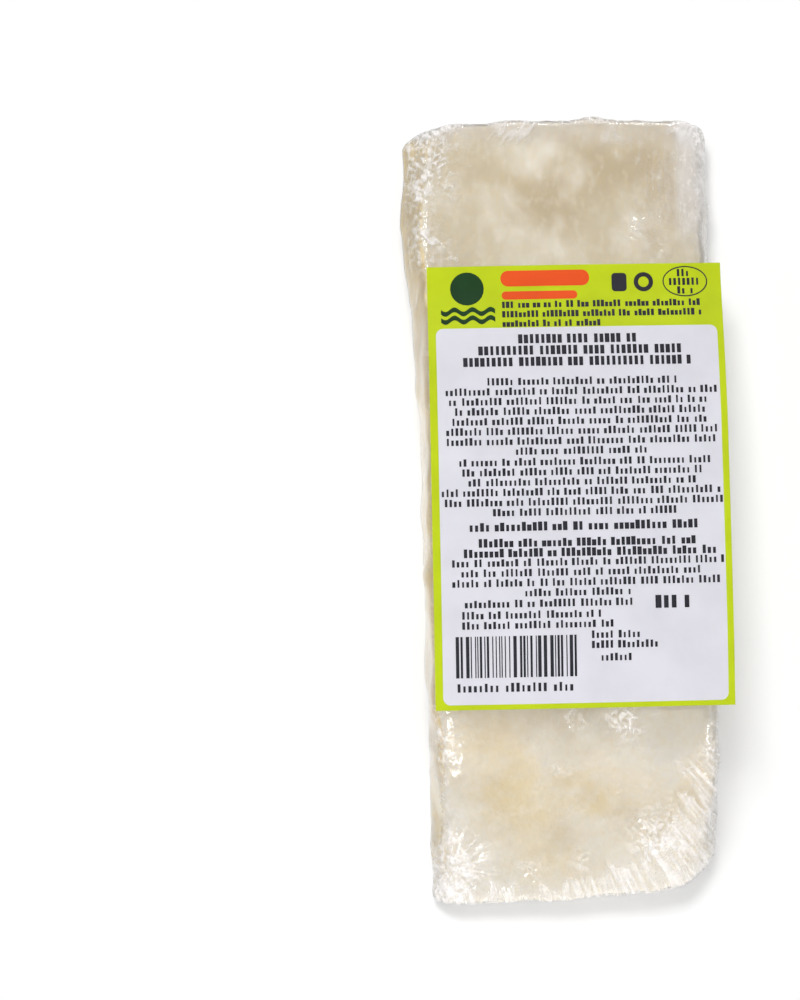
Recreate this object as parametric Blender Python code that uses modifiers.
"""A frozen cod loin in clear shrink film, lying on its underside with a paper label stuck on top.

X runs across the loin, from the sawn side (-X) to the far side (+X). Y runs along it, with the thin end
at +Y and the rounded tip at -Y. Z is up, and the loin rests on the plane z = 0.
Sizes in this file are millimetres, turned into metres where vertices are placed.
"""

import math

import bmesh
import bpy
from mathutils import Matrix, Vector
from mathutils.bvhtree import BVHTree

MM = 0.001

# The loin, out to its film. Each run of pairs gives a size at some places, counted from the thin end
LENGTH = 182.4
UNDERSIDE = ((0, 5.6), (42, 4.4), (76, -0.5), (110, -0.6), (132, 1.2), (156, -0.5), (172, -0.5),
             (LENGTH, 2.2))
SAWN_CREST = ((0, 17.5), (18, 18.6), (34, 23.6), (54, 35.5), (68, 40.2), (92, 40.6), (112, 43.4),
              (128, 41.2), (144, 33.0), (158, 23.5), (170, 15.0), (LENGTH, 9.0))
FAR_CREST = ((0, 12.5), (23, 17.5), (46, 29.5), (80, 36.0), (110, 39.2), (132, 39.4), (146, 35.5),
             (158, 29.0), (170, 20.5), (LENGTH, 12.0))
SAWN_EDGE = ((0, -37.6), (18, -38.6), (40, -36.6), (64, -33.5), (96, -32.4), (130, -31.6), (160, -31.0),
             (LENGTH, -31.2))
FAR_EDGE = ((0, 36.0), (30, 36.9), (90, 36.6), (140, 38.2), (165, 39.0), (LENGTH, 38.4))
SAWN_SLANT = ((0, 8.5), (46, 5.0), (90, 2.4), (130, 2.8), (LENGTH, 6.0))
FAR_SLANT = 4.2
BASE_TUCK = 3.4
CROWN = 0.9

# The groove under the loin, where the film bridges a fold in the flesh
GROOVE_AT = 138.0
GROOVE_HALF_WIDTH = 15.0
GROOVE_DEPTH = 8.0
GROOVE_LEFT_AT_FAR_SIDE = 0.25

# How far each end's corners are drawn in, and how far the ends lean from square
THIN_END_LEAN = 1.2
TIP_LEAN = 4.4
THIN_SAWN_CORNER = 3.6
THIN_FAR_CORNER = 2.2
TIP_SAWN_CORNER = 0.8
TIP_FAR_CORNER = 7.0
CORNER_SHARPNESS = 4

# Places of the cage's rings, as shares of the loin's size
ALONG = (0.0, 0.026, 0.10, 0.19, 0.28, 0.37, 0.48, 0.60, 0.68, 0.735, 0.785, 0.84, 0.91, 0.976, 1.0)
ACROSS = (0.0, 0.07, 0.36, 0.68, 0.93, 1.0)
UPWARD = (0.0, 0.22, 0.76, 1.0)
SMOOTH_LEVELS = 2

# Gentle lumps of the frozen surface
LUMP_SIZE = 17.0
LUMP_HEIGHT = 1.1

# The label
LABEL_WIDTH = 66.4
LABEL_REACH = 99.0
LABEL_MIDDLE = (3.9, 84.4)
LABEL_TURN_DEG = 1.1
LABEL_THICKNESS = 0.3
LABEL_CELLS = (12, 22)
LABEL_SPREADS = 3
LABEL_DROOP = 0.12
TOUCHING_GAP = 0.35
ABOVE_ALL = 0.1


def clear_scene():
    for obj in list(bpy.data.objects):
        bpy.data.objects.remove(obj)


def make_collection(name):
    collection = bpy.data.collections.new(name)
    bpy.context.scene.collection.children.link(collection)
    return collection


def make_material(name, colour, roughness, metallic=0.0):
    material = bpy.data.materials.new(name)
    material.use_nodes = True
    shader = material.node_tree.nodes["Principled BSDF"]
    shader.inputs["Base Color"].default_value = (*colour, 1.0)
    shader.inputs["Roughness"].default_value = roughness
    shader.inputs["Metallic"].default_value = metallic
    return material


def curve_through(points, place):
    """The height at a place of a smooth curve through (place, height) points, level past both ends."""
    if place <= points[0][0]:
        return points[0][1]
    if place >= points[-1][0]:
        return points[-1][1]
    i = max(n for n in range(len(points) - 1) if points[n][0] <= place)
    (x1, y1), (x2, y2) = points[i], points[i + 1]
    x0, y0 = points[i - 1] if i > 0 else (x1, y1)
    x3, y3 = points[i + 2] if i + 2 < len(points) else (x2, y2)
    span = x2 - x1
    start_slope = (y2 - y0) / (x2 - x0) * span
    end_slope = (y3 - y1) / (x3 - x1) * span
    t = (place - x1) / span
    return (
        y1 * (2 * t**3 - 3 * t**2 + 1)
        + start_slope * (t**3 - 2 * t**2 + t)
        + y2 * (3 * t**2 - 2 * t**3)
        + end_slope * (t**3 - t**2)
    )


def mix(a, b, share):
    return a + (b - a) * share


def ease(share):
    share = min(max(share, 0.0), 1.0)
    return share * share * (3 - 2 * share)


def groove_depth(place, across):
    """How far the underside rises into the groove, deepest at the sawn side."""
    reach = abs(place - GROOVE_AT) / GROOVE_HALF_WIDTH
    if reach >= 1:
        return 0.0
    fade = mix(1.0, GROOVE_LEFT_AT_FAR_SIDE, ease(across))
    return GROOVE_DEPTH * math.cos(reach * math.pi / 2) ** 2 * fade


def corner_inset(along, across):
    """How far a corner of the outline, seen from above, is drawn in along Y."""
    at_sawn_side = max(0.0, 1 - across / ACROSS[1])
    at_far_side = max(0.0, 1 - (1 - across) / (1 - ACROSS[-2]))
    if along < 0.5:
        return THIN_SAWN_CORNER * at_sawn_side + THIN_FAR_CORNER * at_far_side
    return TIP_SAWN_CORNER * at_sawn_side + TIP_FAR_CORNER * at_far_side


def loin_point(along, across, upward):
    """The cage's point at these shares of the loin's length, width and height, in millimetres."""
    place = along * LENGTH
    left = curve_through(SAWN_EDGE, place) + curve_through(SAWN_SLANT, place) * upward
    right = curve_through(FAR_EDGE, place) - FAR_SLANT * upward
    tuck = BASE_TUCK if upward == 0.0 else 0.0
    x = mix(left + tuck, right - tuck, across)

    low = curve_through(UNDERSIDE, place) + groove_depth(place, across)
    crown = CROWN * (1 - (2 * across - 1) ** 2)
    high = mix(curve_through(SAWN_CREST, place), curve_through(FAR_CREST, place), ease(across)) + crown
    z = mix(low, high, upward)

    lean = THIN_END_LEAN * (1 - across) * (1 - along) + TIP_LEAN * ease(across) * along
    inset = corner_inset(along, across) * abs(2 * along - 1) ** CORNER_SHARPNESS
    towards_middle = 1 if along > 0.5 else -1
    y = LENGTH / 2 - place + (lean + inset) * towards_middle
    return Vector((x, y, z))


def make_cage():
    """A cube cut into rings, with each corner moved to its place on the loin."""
    cells = (len(ACROSS) - 1, len(ALONG) - 1, len(UPWARD) - 1)
    cage = bmesh.new()
    bmesh.ops.create_cube(cage, size=1.0)
    for axis, count in enumerate(cells):
        runs = [e for e in cage.edges if abs(e.verts[0].co[axis] - e.verts[1].co[axis]) > 0.5]
        bmesh.ops.subdivide_edges(cage, edges=runs, cuts=count - 1)
    for vert in cage.verts:
        i, j, k = (round((vert.co[axis] + 0.5) * cells[axis]) for axis in range(3))
        vert.co = loin_point(ALONG[-1 - j], ACROSS[i], UPWARD[k]) * MM
    bmesh.ops.recalc_face_normals(cage, faces=cage.faces)
    mesh = bpy.data.meshes.new("loin_cage")
    cage.to_mesh(mesh)
    cage.free()
    return mesh


def evaluated_mesh(obj):
    """The object's mesh with its modifiers applied."""
    graph = bpy.context.evaluated_depsgraph_get()
    return bpy.data.meshes.new_from_object(obj.evaluated_get(graph))


def make_loin(collection, material):
    """The wrapped loin: the cage smoothed, made lumpy, and pressed flat where it rests."""
    cage = bpy.data.objects.new("loin_cage", make_cage())
    collection.objects.link(cage)
    smooth = cage.modifiers.new("smooth", "SUBSURF")
    smooth.levels = SMOOTH_LEVELS
    smooth.render_levels = SMOOTH_LEVELS
    lumps = cage.modifiers.new("lumps", "DISPLACE")
    lumps.texture = bpy.data.textures.new("lumps", "CLOUDS")
    lumps.texture.noise_scale = LUMP_SIZE * MM
    lumps.strength = LUMP_HEIGHT * MM
    mesh = evaluated_mesh(cage)
    mesh.name = "wrapped_cod"
    bpy.data.objects.remove(cage)

    for vert in mesh.vertices:
        vert.co.z = max(vert.co.z, 0.0)
    mesh.shade_smooth()
    mesh.materials.append(material)
    loin = bpy.data.objects.new("wrapped_cod", mesh)
    collection.objects.link(loin)
    return loin


def label_points(loin):
    """Rows of points for a stiff sheet laid over the loin, bridging hollows and standing out past the side."""
    corners = [vert.co for vert in loin.data.vertices]
    tree = BVHTree.FromPolygons(corners, [face.vertices for face in loin.data.polygons])
    cells_x, cells_y = LABEL_CELLS
    droop = LABEL_DROOP * LABEL_WIDTH / cells_x * MM
    centre = Vector((LABEL_MIDDLE[0], LENGTH / 2 - LABEL_MIDDLE[1], 0)) * MM
    turn = Matrix.Rotation(math.radians(LABEL_TURN_DEG), 3, "Z")
    rows = []
    for j in range(cells_y + 1):
        row = []
        for i in range(cells_x + 1):
            flat = Vector(((i / cells_x - 0.5) * LABEL_WIDTH, (0.5 - j / cells_y) * LABEL_REACH, 0))
            point = centre + turn @ flat * MM
            hit = tree.ray_cast(point + Vector((0, 0, ABOVE_ALL)), Vector((0, 0, -1)))[0]
            point.z = hit.z if hit else 0.0
            row.append(point)
        for left, right in zip(row, row[1:]):
            right.z = max(right.z, left.z - droop)
        for left, right in reversed(list(zip(row, row[1:]))):
            left.z = max(left.z, right.z - droop)
        rows.append(row)
    for _ in range(LABEL_SPREADS):
        means = [[mean_height(rows, i, j) for i in range(cells_x + 1)] for j in range(cells_y + 1)]
        for row, mean_row in zip(rows, means):
            for point, mean in zip(row, mean_row):
                point.z = max(point.z, mean)
    return rows


def mean_height(rows, i, j):
    """The mean height of a point and those round it."""
    found = [point.z for row in rows[max(j - 1, 0):j + 2] for point in row[max(i - 1, 0):i + 2]]
    return sum(found) / len(found)


def make_label(collection, material, loin):
    """A paper sheet over the loin's top, with its far edge standing out past the loin's side."""
    cells_x, cells_y = LABEL_CELLS
    rows = label_points(loin)
    sheet = bmesh.new()
    bmesh.ops.create_grid(sheet, x_segments=cells_x, y_segments=cells_y, size=0.5)
    for vert in sheet.verts:
        i = round((vert.co.x + 0.5) * cells_x)
        j = round((0.5 - vert.co.y) * cells_y)
        vert.co = rows[j][i] + Vector((0, 0, TOUCHING_GAP * MM))
    mesh = bpy.data.meshes.new("label")
    sheet.to_mesh(mesh)
    sheet.free()
    mesh.materials.append(material)
    label = bpy.data.objects.new("label", mesh)
    collection.objects.link(label)
    thickness = label.modifiers.new("thickness", "SOLIDIFY")
    thickness.thickness = LABEL_THICKNESS * MM
    thickness.offset = 1.0
    return label


def centre_on_base(objects):
    """Moves the meshes so that the middle of their joint box is over the origin."""
    graph = bpy.context.evaluated_depsgraph_get()
    corners = []
    for obj in objects:
        evaluated = obj.evaluated_get(graph)
        corners += [evaluated.matrix_world @ Vector(corner) for corner in evaluated.bound_box]
    middle = [(min(c[axis] for c in corners) + max(c[axis] for c in corners)) / 2 for axis in range(2)]
    for obj in objects:
        for vert in obj.data.vertices:
            vert.co.x -= middle[0]
            vert.co.y -= middle[1]


def main():
    clear_scene()
    collection = make_collection("frozen_cod_loin")
    loin = make_loin(collection, make_material("film_over_cod", (0.80, 0.74, 0.60), 0.25))
    label = make_label(collection, make_material("label_paper", (0.72, 0.75, 0.70), 0.55), loin)
    centre_on_base([loin, label])


if __name__ == "__main__":
    main()
